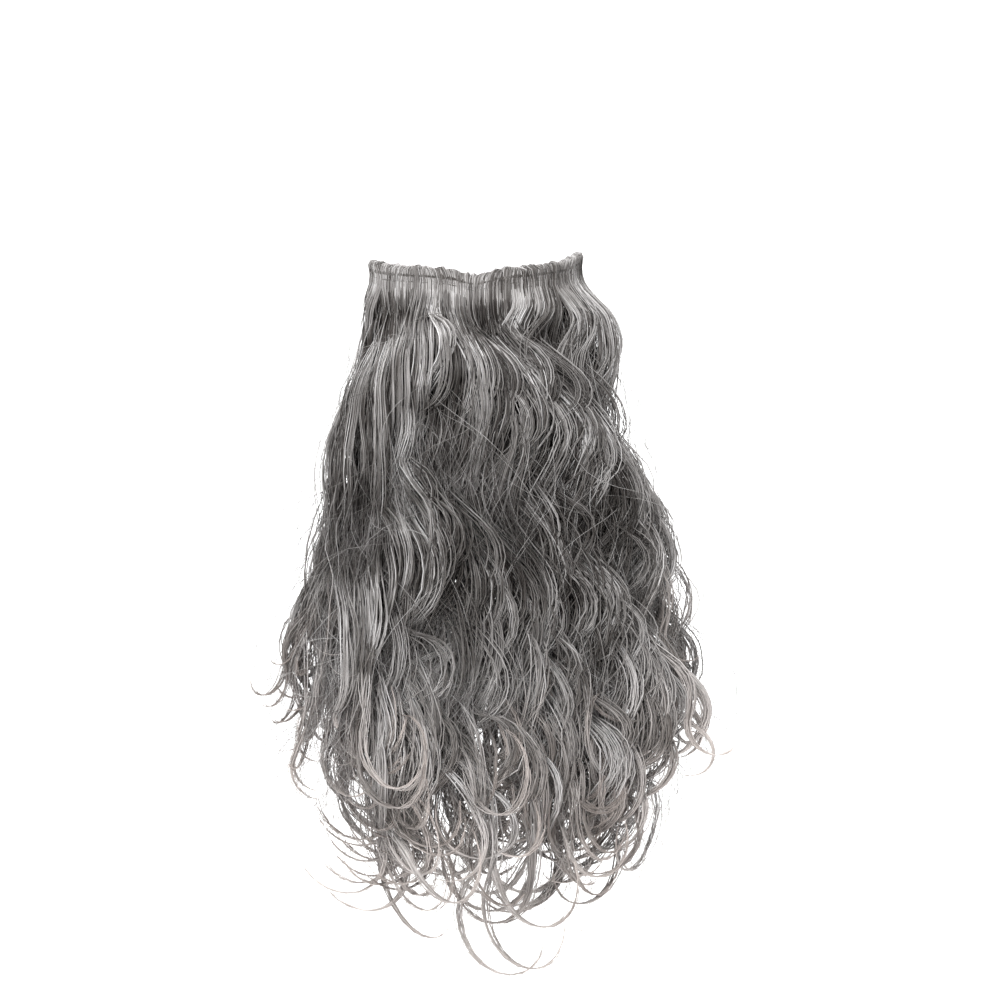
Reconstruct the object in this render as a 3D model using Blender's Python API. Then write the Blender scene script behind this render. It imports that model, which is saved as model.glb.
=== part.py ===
"""Long wavy false beard with its moustache, worn from ear to ear on an elastic loop.

Units are metres. +Z is up and the beard faces -Y. The origin is the point under the nose
where the inside of the header rests on the upper lip.
"""

import math
from collections import namedtuple

import bmesh
import bpy
from mathutils import Vector

# The head that the loop fits round, measured at the upper lip
HEAD_HALF_WIDTH = 0.072
HEAD_HALF_DEPTH = 0.095

# How high the loop sits: at each ear, at the back of the head, and its dip under the nose
LEFT_EAR_RISE = 0.012
RIGHT_EAR_RISE = 0.018
BACK_RISE = 0.006
NOSE_DIP = 0.0045
NOSE_HALF_WIDTH = 0.014

# The header: hair folded over the elastic, gathered and stitched down
HEADER_SPAN = math.radians(84)
HEADER_HEIGHT = 0.014
HEADER_THICKNESS = 0.0065
GATHER_PITCH = 0.009
GATHER_DEPTH = 0.0007
HEADER_ROUNDING = 0.8

# The flat elastic that runs through the header and round the back of the head
ELASTIC_WIDTH = 0.008
ELASTIC_THICKNESS = 0.0012
CLEARANCE = 0.0003

# The fall of hair below the header
BEARD_LENGTH = 0.475
SPREAD_HALF_WIDTH = 0.136
FALL_SHIFT = 0.014
FRONT_BULGE = 0.026
CURTAIN_THICKNESS = 0.014
CURTAIN_SHARE = 0.70
SIDE_CUT = 0.20

# The locks: their section, how far a layer stands off the curtain, their wave and end curl
LOCK_WIDTH = 0.030
LOCK_DEPTH = 0.020
LAYER_STEP = 0.010
WAVE_DEPTH = 0.005
CURL_RADIUS = 0.024
FREE_SHARE = 0.4
STRIDE = 0.002

# Points used to draw each form
BACK_STEPS = 26
CURTAIN_COLUMNS = 40
CURTAIN_ROWS = 20
LOCK_SIDES = 10
RING_PITCH = 0.010
MELT_GRAIN = 0.0025
MELT_SLACK = 0.001
FALL_TRIANGLES = 9400

DOWN = Vector((0, 0, -1))
SECTION = [(1, 0), (1, 1), (0, 1), (-1, 1), (-1, 0), (-1, -1), (0, -1), (1, -1)]

# Height of the loop, as a share of the ear's rise, by share of the way from front to back.
# The last row is where it reaches BACK_RISE.
Loop = namedtuple("Loop", "way_round ear_share back_share")
LOOP = [
    Loop(0.00, 0.00, 0.0),
    Loop(0.12, 0.09, 0.0),
    Loop(0.28, 0.42, 0.0),
    Loop(0.46, 1.00, 0.0),
    Loop(0.60, 0.90, 0.1),
    Loop(0.80, 0.25, 0.75),
    Loop(1.00, 0.00, 1.0),
]

# Shape of the fall by share of its length: how far it has spread from the header's width to
# the widest, how far it leans aside and bulges forward, and how much it wraps round the face.
Fall = namedtuple("Fall", "drop spread shift bulge wrap")
FALL = [
    Fall(0.00, 0.00, 0.00, 0.00, 1.00),
    Fall(0.10, 0.14, 0.10, 0.40, 0.95),
    Fall(0.25, 0.31, 0.35, 0.85, 0.78),
    Fall(0.45, 0.60, 0.65, 1.00, 0.58),
    Fall(0.62, 0.86, 0.85, 0.95, 0.46),
    Fall(0.74, 1.00, 0.90, 0.90, 0.40),
    Fall(0.86, 0.78, 1.05, 0.85, 0.36),
    Fall(1.00, 0.48, 1.25, 0.80, 0.34),
]

# One row for each lock. across runs from -1 at one ear to 1 at the other. root and reach are
# the shares of BEARD_LENGTH where it leaves the header or curtain and where its end curl
# begins, wave is its wavelength as the same kind of share, start is where the wave begins in
# turns and swing how far it leans aside in degrees. curl is how far its end turns in degrees,
# negative to the left, in a plane that lean turns out of the curtain's: it starts to turn where
# FREE_SHARE of the reach is behind it. layer counts LAYER_STEP outwards, width LOCK_WIDTH.
Lock = namedtuple("Lock", "across root reach wave start swing curl lean layer width")
LOCKS = [
    Lock(-0.95, 0.02, 0.69, 0.29, 0.45, 27, 170, 50, 0.3, 0.90),
    Lock(-0.80, 0.02, 0.73, 0.30, 0.40, 28, -150, -65, 0.9, 1.00),
    Lock(-0.63, 0.02, 0.79, 0.31, 0.62, 28, 170, 30, 1.0, 1.05),
    Lock(-0.46, 0.02, 0.85, 0.29, 0.78, 32, 200, 40, 1.1, 1.10),
    Lock(-0.28, 0.02, 0.88, 0.31, 0.95, 34, -160, 25, 1.2, 1.15),
    Lock(-0.11, 0.02, 0.90, 0.33, 0.88, 30, 190, 35, 1.0, 1.05),
    Lock(0.05, 0.02, 0.92, 0.27, 0.70, 28, -200, 20, 1.1, 1.00),
    Lock(0.20, 0.02, 0.93, 0.24, 0.66, 30, 170, 45, 1.0, 1.05),
    Lock(0.36, 0.02, 0.88, 0.25, 0.45, 32, -210, 30, 1.1, 1.00),
    Lock(0.51, 0.02, 0.84, 0.28, 0.40, 28, -150, 40, 1.0, 1.05),
    Lock(0.66, 0.02, 0.77, 0.30, 0.20, 27, -190, 25, 1.0, 1.00),
    Lock(0.81, 0.02, 0.72, 0.31, 0.10, 27, 150, 40, 0.9, 1.00),
    Lock(0.95, 0.02, 0.69, 0.30, 0.98, 25, -160, 40, 0.3, 0.90),
    Lock(-0.06, 0.46, 0.84, 0.42, 0.35, 36, -140, 20, 2.2, 0.60),
    Lock(-0.86, 0.44, 0.71, 0.28, 0.80, 30, 140, 50, -1.0, 0.90),
    Lock(-0.62, 0.42, 0.78, 0.28, 0.30, 30, 180, -30, -1.1, 1.00),
    Lock(-0.38, 0.42, 0.85, 0.27, 0.60, 31, -190, -50, -1.1, 1.00),
    Lock(-0.14, 0.42, 0.88, 0.28, 0.10, 30, 200, -40, -1.0, 1.00),
    Lock(0.12, 0.42, 0.91, 0.27, 0.55, 30, -170, -35, -1.1, 1.00),
    Lock(0.36, 0.42, 0.87, 0.28, 0.90, 31, -190, -45, -1.0, 1.00),
    Lock(0.60, 0.42, 0.79, 0.28, 0.40, 30, -180, -30, -1.1, 1.00),
    Lock(0.86, 0.44, 0.71, 0.28, 0.75, 30, 140, 35, -1.0, 0.90),
]

# Girth of every lock by share of its own length: a slim root, a full middle and a thin tip
Girth = namedtuple("Girth", "along share")
GIRTH = [
    Girth(0.00, 0.50),
    Girth(0.10, 0.85),
    Girth(0.35, 1.00),
    Girth(0.62, 0.94),
    Girth(0.80, 0.62),
    Girth(0.92, 0.36),
    Girth(1.00, 0.12),
]


def lerp(low, high, share):
    return low + (high - low) * share


def smooth(share):
    """0 to 1 with a soft start and end."""
    share = min(max(share, 0.0), 1.0)
    return share * share * (3 - 2 * share)


def read_table(rows, at):
    """A row of the table at any place in its first column, on a smooth curve through its rows."""
    last = len(rows) - 2
    i = next((k for k in range(last) if at < rows[k + 1][0]), last)
    before, here, there, after = (rows[min(max(k, 0), last + 1)] for k in (i - 1, i, i + 1, i + 2))
    width = there[0] - here[0]
    share = min(max((at - here[0]) / width, 0.0), 1.0)
    found = [at]
    for column in range(1, len(here)):
        slopes = []
        for low, high in ((before, there), (here, after)):
            slopes.append((high[column] - low[column]) / (high[0] - low[0]) * width)
        a, b = here[column], there[column]
        bend = 2 * a - 2 * b + slopes[0] + slopes[1]
        turn = 3 * b - 3 * a - 2 * slopes[0] - slopes[1]
        found.append(a + share * (slopes[0] + share * (turn + share * bend)))
    return type(here)(*found)


# The loop round the head

def loop_point(turn, out, up=0.0):
    """Point of the loop at an angle from the front, out from the head's skin and up from its middle."""
    side = math.sin(turn)
    loop = read_table(LOOP, abs(turn) / math.pi)
    ear_rise = lerp(LEFT_EAR_RISE, RIGHT_EAR_RISE, (1 + side) / 2)
    x = (HEAD_HALF_WIDTH + out) * side
    y = HEAD_HALF_DEPTH - (HEAD_HALF_DEPTH + out) * math.cos(turn)
    dip = NOSE_DIP * math.exp(-((x / NOSE_HALF_WIDTH) ** 2)) if abs(turn) < HEADER_SPAN else 0.0
    rise = ear_rise * loop.ear_share + BACK_RISE * loop.back_share
    return Vector((x, y, rise - dip + up))


def gather_count():
    """How many gathers the header holds, from its length and their pitch."""
    length = 0.0
    steps = 60
    for k in range(steps):
        ends = [HEADER_SPAN * (2 * (k + j) / steps - 1) for j in (0, 1)]
        length += (loop_point(ends[0], 0) - loop_point(ends[1], 0)).length
    return max(8, round(length / GATHER_PITCH))


def header_turns():
    """The angles of the header's sections: a ridge and a valley for each gather."""
    steps = 2 * gather_count()
    return [HEADER_SPAN * (2 * k / steps - 1) for k in range(steps + 1)]


# Meshes lofted through rings of points

def add_ring(bm, points):
    """The vertices of one section."""
    return [bm.verts.new(point) for point in points]


def loft(bm, rings, closed=False):
    """Faces from each ring to the next one, and from the last to the first where it is closed."""
    pairs = list(zip(rings, rings[1:]))
    if closed:
        pairs.append((rings[-1], rings[0]))
    for one, other in pairs:
        for k in range(len(one)):
            bm.faces.new((one[k - 1], one[k], other[k], other[k - 1]))


def new_object(name, bm, material):
    """Turns a bmesh into a named object with its faces pointing out."""
    bmesh.ops.recalc_face_normals(bm, faces=bm.faces)
    mesh = bpy.data.meshes.new(name)
    bm.to_mesh(mesh)
    bm.free()
    mesh.materials.append(material)
    made = bpy.data.objects.new(name, mesh)
    bpy.context.scene.collection.objects.link(made)
    return made


def shade_round(made, angle=math.radians(50)):
    made.data.shade_smooth()
    made.data.set_sharp_from_angle(angle=angle)


def new_material(name, colour, roughness):
    material = bpy.data.materials.new(name)
    material.use_nodes = True
    shader = material.node_tree.nodes["Principled BSDF"]
    shader.inputs["Base Color"].default_value = (*colour, 1.0)
    shader.inputs["Roughness"].default_value = roughness
    shader.inputs["Metallic"].default_value = 0.0
    return material


# Elastic loop and gathered header

def section(turn, half_thickness, half_height, rounding=1.0):
    """Eight points round the loop's middle line: the middles of the sides and the corners."""
    ring = []
    for out, up in SECTION:
        pull = rounding if out and up else 1.0
        away = HEADER_THICKNESS / 2 + out * pull * half_thickness
        ring.append(loop_point(turn, away, up * pull * half_height))
    return ring


def make_elastic(material):
    """The flat elastic: four corners to a section, on one closed loop."""
    bm = bmesh.new()
    turns = header_turns()
    back = 2 * (math.pi - HEADER_SPAN)
    turns += [HEADER_SPAN + back * k / BACK_STEPS for k in range(1, BACK_STEPS)]
    rings = []
    for turn in turns:
        wrapped = turn - 2 * math.pi if turn > math.pi else turn
        corners = section(wrapped, ELASTIC_THICKNESS / 2, ELASTIC_WIDTH / 2)[1::2]
        rings.append(add_ring(bm, corners))
    loft(bm, rings, closed=True)
    return new_object("elastic_strap", bm, material)


def make_header(material):
    """The gathered band, open at both ends where the elastic leaves its channel."""
    bm = bmesh.new()
    outside, channel = [], []
    for k, turn in enumerate(header_turns()):
        ridge = GATHER_DEPTH if k % 2 else 0.0
        half_thickness, half_height = HEADER_THICKNESS / 2 - ridge, HEADER_HEIGHT / 2 - ridge
        outside.append(add_ring(bm, section(turn, half_thickness, half_height, HEADER_ROUNDING)))
        slot_thickness, slot_height = ELASTIC_THICKNESS / 2 + CLEARANCE, ELASTIC_WIDTH / 2 + CLEARANCE
        channel.append(add_ring(bm, section(turn, slot_thickness, slot_height)))
    loft(bm, outside)
    loft(bm, channel)
    for end in (0, -1):
        loft(bm, [outside[end], channel[end]])
    return new_object("header", bm, material)


# Fall of hair

def fall_frame(across, drop):
    """Middle of the curtain, its direction across and its direction outwards, at shares across and down."""
    fall = read_table(FALL, drop)
    turn = across * HEADER_SPAN
    edge = math.sin(HEADER_SPAN)
    half_width = lerp(HEAD_HALF_WIDTH + HEADER_THICKNESS / 2, SPREAD_HALF_WIDTH / edge, fall.spread)
    depth = (HEAD_HALF_DEPTH + HEADER_THICKNESS / 2) * fall.wrap
    top = loop_point(turn, 0).z - HEADER_HEIGHT / 2 - CLEARANCE - MELT_SLACK
    front = HEADER_THICKNESS / 2 + FRONT_BULGE * fall.bulge
    x = FALL_SHIFT * fall.shift + half_width * math.sin(turn)
    middle = Vector((x, depth * (1 - math.cos(turn)) - front, top - drop * BEARD_LENGTH))
    side = Vector((half_width * math.cos(turn), depth * math.sin(turn), 0)).normalized()
    return middle, side, DOWN.cross(side)


def lock_path(lock):
    """The lock's middle line: it swings from side to side down the curtain, then its end curls.

    Every STRIDE it gives a point, the direction along the lock and the direction it faces.
    """
    aside, ahead, drop, walked, heading, turned, tilt = 0.0, 0.0, lock.root, 0.0, 0.0, 0.0, 0.0
    turn_step = math.degrees(STRIDE / CURL_RADIUS)
    path = []
    while turned < abs(lock.curl):
        phase = 2 * math.pi * (walked / (lock.wave * BEARD_LENGTH) + lock.start)
        if drop < lock.reach and not turned:
            eased = smooth(walked / LOCK_WIDTH)
            heading = math.radians(lock.swing) * eased * math.cos(phase)
            depth = WAVE_DEPTH * eased * math.sin(phase)
            freed = (drop / lock.reach - FREE_SHARE) / (1 - FREE_SHARE)
            tilt = math.radians(lock.lean) * smooth(freed)
        else:
            heading += math.radians(math.copysign(turn_step, lock.curl))
            turned += turn_step
        middle, side, outward = fall_frame(lock.across, drop)
        level = LAYER_STEP * lock.layer * smooth(walked / (3 * LOCK_WIDTH)) + depth + ahead
        sideways = side * math.cos(tilt) + outward * math.sin(tilt)
        forward = sideways * math.sin(heading) + DOWN * math.cos(heading)
        path.append((middle + side * aside + outward * level, forward, DOWN.cross(sideways)))
        aside += STRIDE * math.sin(heading) * math.cos(tilt)
        ahead += STRIDE * math.sin(heading) * math.sin(tilt)
        drop += STRIDE * math.cos(heading) / BEARD_LENGTH
        walked += STRIDE
    return path


def lock_ring(point, forward, facing, half_width, half_depth):
    """The lock's flattened section, square to its direction."""
    across = forward.cross(facing) * half_width
    corners = [2 * math.pi * k / LOCK_SIDES for k in range(LOCK_SIDES)]
    return [point + across * math.cos(a) + facing * math.sin(a) * half_depth for a in corners]


def make_lock(bm, lock):
    """One lock: a flattened, tapering tube round its wavy middle line."""
    path = lock_path(lock)
    last = round(len(path) * STRIDE / RING_PITCH)
    rings = []
    for k in range(last + 1):
        girth = lock.width * read_table(GIRTH, k / last).share
        place = path[round(k / last * (len(path) - 1))]
        rings.append(add_ring(bm, lock_ring(*place, girth * LOCK_WIDTH / 2, girth * LOCK_DEPTH / 2)))
    loft(bm, rings)
    bm.faces.new(rings[0])
    bm.faces.new(rings[-1])


def make_curtain(bm):
    """The hair close behind the locks: a wall from ear to ear, as thin as the header at its top."""
    rows = []
    for k in range(CURTAIN_ROWS + 1):
        down = k / CURTAIN_ROWS
        half = lerp(HEADER_THICKNESS, CURTAIN_THICKNESS, smooth(down / 0.15)) / 2
        inside, outside = [], []
        for j in range(CURTAIN_COLUMNS + 1):
            across = 2 * j / CURTAIN_COLUMNS - 1
            lowest = CURTAIN_SHARE * (1 - SIDE_CUT * across * across)
            middle, _, outward = fall_frame(across, down * lowest)
            inside.append(middle - outward * half)
            outside.append(middle + outward * half)
        rows.append(add_ring(bm, outside + inside[::-1]))
    loft(bm, rows)
    bm.faces.new(rows[0])
    bm.faces.new(rows[-1])


def bodies(bm):
    """The separate bodies of a mesh, as lists of faces."""
    left = set(bm.faces)
    found = []
    while left:
        body = [left.pop()]
        for face in body:
            for edge in face.edges:
                for other in edge.link_faces:
                    if other in left:
                        left.remove(other)
                        body.append(other)
        found.append(body)
    return found


def evaluated(made):
    """The object's mesh with its modifiers applied."""
    graph = bpy.context.evaluated_depsgraph_get()
    return bpy.data.meshes.new_from_object(made.evaluated_get(graph))


def fuse(made):
    """Melts the shapes of a mesh into one body, without the air pockets between them."""
    melt = made.modifiers.new("melt", "REMESH")
    melt.mode = "VOXEL"
    melt.voxel_size = MELT_GRAIN
    squares = len(evaluated(made).polygons)
    thin = made.modifiers.new("thin", "DECIMATE")
    thin.ratio = FALL_TRIANGLES / (2 * squares)
    melted = evaluated(made)
    bm = bmesh.new()
    bm.from_mesh(melted)
    for faces in sorted(bodies(bm), key=len)[:-1]:
        bmesh.ops.delete(bm, geom=faces, context="FACES")
    bm.to_mesh(melted)
    bm.free()
    made.modifiers.clear()
    made.data = melted


def make_hair_fall(material):
    """The curtain and every lock, melted into one solid."""
    bm = bmesh.new()
    make_curtain(bm)
    for lock in LOCKS:
        make_lock(bm, lock)
    made = new_object("hair_fall", bm, material)
    fuse(made)
    return made


def main():
    for old in list(bpy.data.objects):
        bpy.data.objects.remove(old)
    hair = new_material("silver_hair", (0.36, 0.35, 0.345), 0.45)
    folded = new_material("folded_hair", (0.42, 0.41, 0.40), 0.5)
    elastic = new_material("grey_elastic", (0.12, 0.12, 0.125), 0.8)
    make_elastic(elastic)
    shade_round(make_header(folded))
    shade_round(make_hair_fall(hair))


main()
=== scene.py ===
# %% [markdown]
# # A long wavy false beard
#
# A false beard is loose hair fibre sewn to a narrow band. The fibres are folded over the band
# and gathered, so its top edge is scalloped, and a thin elastic runs inside it and round the
# back of the head. Below the band the hair hangs free, in locks that swing from side to side
# and end in open curls.
#
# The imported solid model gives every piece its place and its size. This script dresses it:
# strand by strand for the hair, gather by gather for the header, and rib by rib for the elastic.

# %% Load the solid model
import math
from collections import namedtuple

import bmesh
import bpy
import numpy as np
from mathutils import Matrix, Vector


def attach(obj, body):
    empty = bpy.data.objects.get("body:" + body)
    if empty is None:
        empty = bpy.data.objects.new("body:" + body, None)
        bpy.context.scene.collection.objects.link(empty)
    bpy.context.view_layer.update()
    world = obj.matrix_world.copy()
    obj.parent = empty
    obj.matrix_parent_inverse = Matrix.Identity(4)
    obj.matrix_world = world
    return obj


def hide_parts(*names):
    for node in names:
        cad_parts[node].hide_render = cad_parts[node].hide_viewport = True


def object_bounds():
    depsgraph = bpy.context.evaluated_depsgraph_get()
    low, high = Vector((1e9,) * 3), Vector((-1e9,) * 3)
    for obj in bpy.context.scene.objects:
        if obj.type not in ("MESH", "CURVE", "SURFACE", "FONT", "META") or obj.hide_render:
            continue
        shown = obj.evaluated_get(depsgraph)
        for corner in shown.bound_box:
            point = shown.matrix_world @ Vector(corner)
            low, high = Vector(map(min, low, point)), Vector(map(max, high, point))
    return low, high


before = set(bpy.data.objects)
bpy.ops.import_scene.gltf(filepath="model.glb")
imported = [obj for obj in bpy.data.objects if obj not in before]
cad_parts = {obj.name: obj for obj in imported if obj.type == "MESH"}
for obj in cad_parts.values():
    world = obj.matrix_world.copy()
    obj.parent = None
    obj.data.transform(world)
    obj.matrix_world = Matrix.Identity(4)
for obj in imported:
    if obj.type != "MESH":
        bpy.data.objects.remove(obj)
solid_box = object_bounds()
print("solid model:", [round(1000 * side) for side in solid_box[1] - solid_box[0]], "mm")

# %% [markdown]
# ## Sizes
#
# Everything is in metres. The head's half width and half depth, the rise of the loop over the
# ears and the length of the hair are those of the solid model, so that what is modelled here
# lies where the solids lie. The hair's own sizes follow: a strand, which stands for many
# fibres, and a single loose hair.

# %% Sizes of the head, the header and the hair
HEAD_HALF_WIDTH = 0.072
HEAD_HALF_DEPTH = 0.095
LEFT_EAR_RISE = 0.012
RIGHT_EAR_RISE = 0.018
BACK_RISE = 0.006
NOSE_DIP = 0.0045
NOSE_HALF_WIDTH = 0.014
HEADER_SPAN = math.radians(84)
HEADER_HEIGHT = 0.014
HEADER_THICKNESS = 0.0065
ELASTIC_WIDTH = 0.008
ELASTIC_THICKNESS = 0.0012
GATHER_PITCH = 0.009

BEARD_LENGTH = 0.475
SPREAD_HALF_WIDTH = 0.136
FALL_SHIFT = 0.014
FRONT_BULGE = 0.026
LOCK_WIDTH = 0.030
LAYER_STEP = 0.010
WAVE_DEPTH = 0.005
CURL_RADIUS = 0.024
FREE_SHARE = 0.4
STRIDE = 0.0025

STRAND_WIDTH = 0.00105
STRAND_THICKNESS = 0.0005
LOOSE_HAIR_RADIUS = 0.00018
DOWN = np.array((0.0, 0.0, -1.0))
chance = np.random.default_rng(7)

# %% [markdown]
# ## The run of the hair, as tables
#
# Hair is easier to steer than to draw. One table says how the whole fall widens, leans and
# bulges on its way down. Another has one row for each main lock: where it starts, how far it
# reaches, how long its waves are and which way its end curls. The same tables shape the solid
# model, so the strands fill the same locks.

# %% Tables of the loop, the fall and the locks
Loop = namedtuple("Loop", "way_round ear_share back_share")
LOOP = [
    Loop(0.00, 0.00, 0.0),
    Loop(0.12, 0.09, 0.0),
    Loop(0.28, 0.42, 0.0),
    Loop(0.46, 1.00, 0.0),
    Loop(0.60, 0.90, 0.1),
    Loop(0.80, 0.25, 0.75),
    Loop(1.00, 0.00, 1.0),
]
Fall = namedtuple("Fall", "drop spread shift bulge wrap")
FALL = [
    Fall(0.00, 0.00, 0.00, 0.00, 1.00),
    Fall(0.10, 0.14, 0.10, 0.40, 0.95),
    Fall(0.25, 0.31, 0.35, 0.85, 0.78),
    Fall(0.45, 0.60, 0.65, 1.00, 0.58),
    Fall(0.62, 0.86, 0.85, 0.95, 0.46),
    Fall(0.74, 1.00, 0.90, 0.90, 0.40),
    Fall(0.86, 0.78, 1.05, 0.85, 0.36),
    Fall(1.00, 0.48, 1.25, 0.80, 0.34),
]
Lock = namedtuple("Lock", "across root reach wave start swing curl lean layer width")
FRONT_LOCKS = [
    Lock(-0.95, 0.02, 0.69, 0.29, 0.45, 27, 170, 50, 0.3, 0.90),
    Lock(-0.80, 0.02, 0.73, 0.30, 0.40, 28, -150, -65, 0.9, 1.00),
    Lock(-0.63, 0.02, 0.79, 0.31, 0.62, 28, 170, 30, 1.0, 1.05),
    Lock(-0.46, 0.02, 0.85, 0.29, 0.78, 32, 200, 40, 1.1, 1.10),
    Lock(-0.28, 0.02, 0.88, 0.31, 0.95, 34, -160, 25, 1.2, 1.15),
    Lock(-0.11, 0.02, 0.90, 0.33, 0.88, 30, 190, 35, 1.0, 1.05),
    Lock(0.05, 0.02, 0.92, 0.27, 0.70, 28, -200, 20, 1.1, 1.00),
    Lock(0.20, 0.02, 0.93, 0.24, 0.66, 30, 170, 45, 1.0, 1.05),
    Lock(0.36, 0.02, 0.88, 0.25, 0.45, 32, -210, 30, 1.1, 1.00),
    Lock(0.51, 0.02, 0.84, 0.28, 0.40, 28, -150, 40, 1.0, 1.05),
    Lock(0.66, 0.02, 0.77, 0.30, 0.20, 27, -190, 25, 1.0, 1.00),
    Lock(0.81, 0.02, 0.72, 0.31, 0.10, 27, 150, 40, 0.9, 1.00),
    Lock(0.95, 0.02, 0.69, 0.30, 0.98, 25, -160, 40, 0.3, 0.90),
    Lock(-0.06, 0.46, 0.84, 0.42, 0.35, 36, -140, 20, 2.2, 0.60),
]
BACK_LOCKS = [
    Lock(-0.86, 0.44, 0.71, 0.28, 0.80, 30, 140, 50, -1.0, 0.90),
    Lock(-0.62, 0.42, 0.78, 0.28, 0.30, 30, 180, -30, -1.1, 1.00),
    Lock(-0.38, 0.42, 0.85, 0.27, 0.60, 31, -190, -50, -1.1, 1.00),
    Lock(-0.14, 0.42, 0.88, 0.28, 0.10, 30, 200, -40, -1.0, 1.00),
    Lock(0.12, 0.42, 0.91, 0.27, 0.55, 30, -170, -35, -1.1, 1.00),
    Lock(0.36, 0.42, 0.87, 0.28, 0.90, 31, -190, -45, -1.0, 1.00),
    Lock(0.60, 0.42, 0.79, 0.28, 0.40, 30, -180, -30, -1.1, 1.00),
    Lock(0.86, 0.44, 0.71, 0.28, 0.75, 30, 140, 35, -1.0, 0.90),
]
print(len(FRONT_LOCKS), "locks in front and", len(BACK_LOCKS), "behind")

# %% [markdown]
# A table has only a few rows, and hair bends without corners, so it is read on a smooth curve
# through its rows, at thousands of places at once.

# %% Read tables on smooth curves
def smooth(share):
    """0 to 1 with a soft start and end."""
    share = np.clip(share, 0.0, 1.0)
    return share * share * (3 - 2 * share)


def lerp(low, high, share):
    return low + (high - low) * share


def read_table(rows, at):
    """Every column but the first, at many places in the first, on smooth curves through the rows."""
    table = np.array(rows, float)
    place, values = table[:, 0], table[:, 1:]
    last = len(table) - 2
    here = np.clip(np.searchsorted(place, at, side="right") - 1, 0, last)
    before, after = np.maximum(here - 1, 0), np.minimum(here + 2, last + 1)
    width = (place[here + 1] - place[here])[..., None]
    share = np.clip((at - place[here])[..., None] / width, 0, 1)
    a, b = values[here], values[here + 1]
    leaving = (b - values[before]) / (place[here + 1] - place[before])[..., None] * width
    arriving = (values[after] - a) / (place[after] - place[here])[..., None] * width
    bend = 2 * a - 2 * b + leaving + arriving
    turn = 3 * b - 3 * a - 2 * leaving - arriving
    return np.moveaxis(a + share * (leaving + share * (turn + share * bend)), -1, 0)


def unit(vectors):
    return vectors / np.maximum(np.linalg.norm(vectors, axis=-1, keepdims=True), 1e-9)


# %% [markdown]
# ## The loop round the head
#
# The header and the elastic lie on one loop. It is an ellipse seen from above, it dips a
# little under the nose, and it rises over the ears. A point on it is given by its angle from
# the front, how far out from the skin it is and how far up from the band's middle.

# %% Points on the loop
def loop_point(turn, out, up):
    turn, out, up = np.broadcast_arrays(*(np.asarray(value, float) for value in (turn, out, up)))
    side = np.sin(turn)
    ear_share, back_share = read_table(LOOP, np.abs(turn) / math.pi)
    ear_rise = lerp(LEFT_EAR_RISE, RIGHT_EAR_RISE, (1 + side) / 2)
    x = (HEAD_HALF_WIDTH + out) * side
    y = HEAD_HALF_DEPTH - (HEAD_HALF_DEPTH + out) * np.cos(turn)
    dip = np.where(np.abs(turn) < HEADER_SPAN, NOSE_DIP * np.exp(-((x / NOSE_HALF_WIDTH) ** 2)), 0)
    z = ear_rise * ear_share + BACK_RISE * back_share - dip + up
    return np.stack((x, y, z), axis=-1)


around = np.linspace(-math.pi, math.pi, 721)
loop_line = loop_point(around, HEADER_THICKNESS / 2, 0)
loop_length = np.linalg.norm(np.diff(loop_line, axis=0), axis=1).sum()
print("the loop is", round(1000 * loop_length), "mm round")

# %% [markdown]
# ## How one lock falls
#
# A lock is walked like a snail's path. It goes down the curtain while its heading swings from
# side to side, and when it has used up its reach it keeps turning one way, which makes the end
# curl. Many locks are walked at once, a step at a time. The alternative, drawing every lock as
# a curve by hand, would give the same shape but takes too long for hundreds of them.

# %% The run of the fall
def fall_frame(across, drop):
    """Middle of the curtain, its direction across and its direction outwards."""
    spread, shift, bulge, wrap = read_table(FALL, drop)
    turn = across * HEADER_SPAN
    edge = math.sin(HEADER_SPAN)
    half_width = lerp(HEAD_HALF_WIDTH + HEADER_THICKNESS / 2, SPREAD_HALF_WIDTH / edge, spread)
    depth = (HEAD_HALF_DEPTH + HEADER_THICKNESS / 2) * wrap
    top = loop_point(turn, 0, 0)[..., 2] - HEADER_HEIGHT / 2
    x = FALL_SHIFT * shift + half_width * np.sin(turn)
    y = depth * (1 - np.cos(turn)) - HEADER_THICKNESS / 2 - FRONT_BULGE * bulge
    middle = np.stack((x, y, top - drop * BEARD_LENGTH), axis=-1)
    side = unit(np.stack((half_width * np.cos(turn), depth * np.sin(turn), 0 * x), axis=-1))
    return middle, side, np.cross(DOWN, side)


widest = max(FALL, key=lambda row: row.spread)
edges, _, _ = fall_frame(np.array((-1.0, 1.0)), np.full(2, widest.drop))
print("the fall is", round(1000 * (edges[1, 0] - edges[0, 0])), "mm across at its widest")

# %% Walk many locks at once
WAVE_SWELL = 0.35
SWELL_RATE = 0.37
RIPPLE_RATE = 2.3
ROOT_BREADTH = 0.65
TIP_BREADTH = 0.4


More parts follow.
